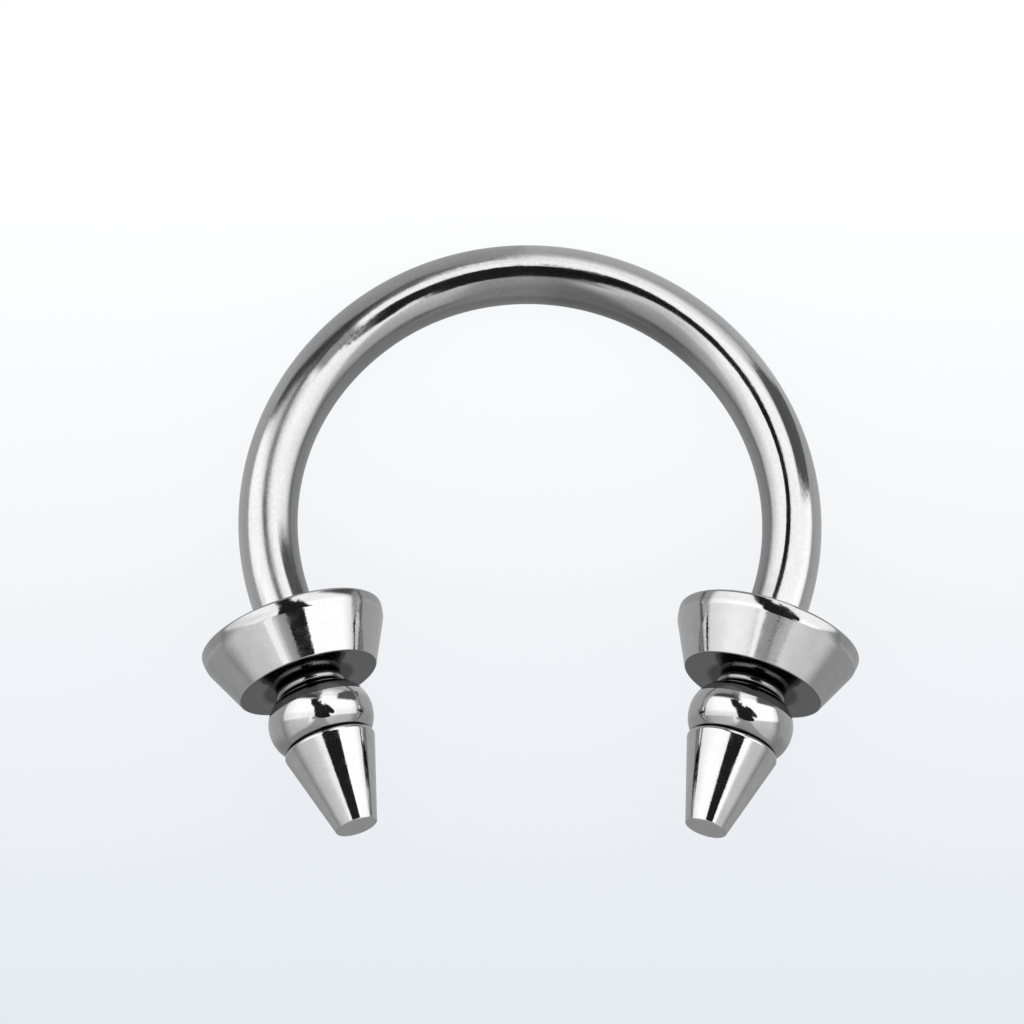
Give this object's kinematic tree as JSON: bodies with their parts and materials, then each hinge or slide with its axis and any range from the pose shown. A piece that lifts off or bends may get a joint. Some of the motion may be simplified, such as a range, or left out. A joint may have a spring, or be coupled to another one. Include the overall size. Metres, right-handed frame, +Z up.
{
  "type": "horseshoe barbell",
  "caption": "Open horseshoe ring of polished steel wire with a screw-on collared spike on each end, lying on its side.",
  "frame": {"origin": "on the floor, under the middle of the part's box", "axes": "+X across the ring from the left end piece to the right one, +Y from the open side to the top of the arch, +Z up"},
  "size_m": [0.0176, 0.0168, 0.005],
  "materials": {
    "wire_steel": "mirror-polished stainless steel",
    "turned_steel": "turned and mirror-polished stainless steel"
  },
  "bodies": {
    "ring": {"bar": "wire_steel"},
    "left_screw": {"left_end": "turned_steel"},
    "right_screw": {"right_end": "turned_steel"}
  },
  "joints": [
    {"name": "left_unscrew", "type": "slide", "parent": "ring", "child": "left_screw", "axis": [0.3007, -0.9411, 0.1548], "range_m": [0, 0.0015]},
    {"name": "right_unscrew", "type": "slide", "parent": "ring", "child": "right_screw", "axis": [-0.3007, -0.9411, 0.1548], "range_m": [0, 0.0015]}
  ]
}
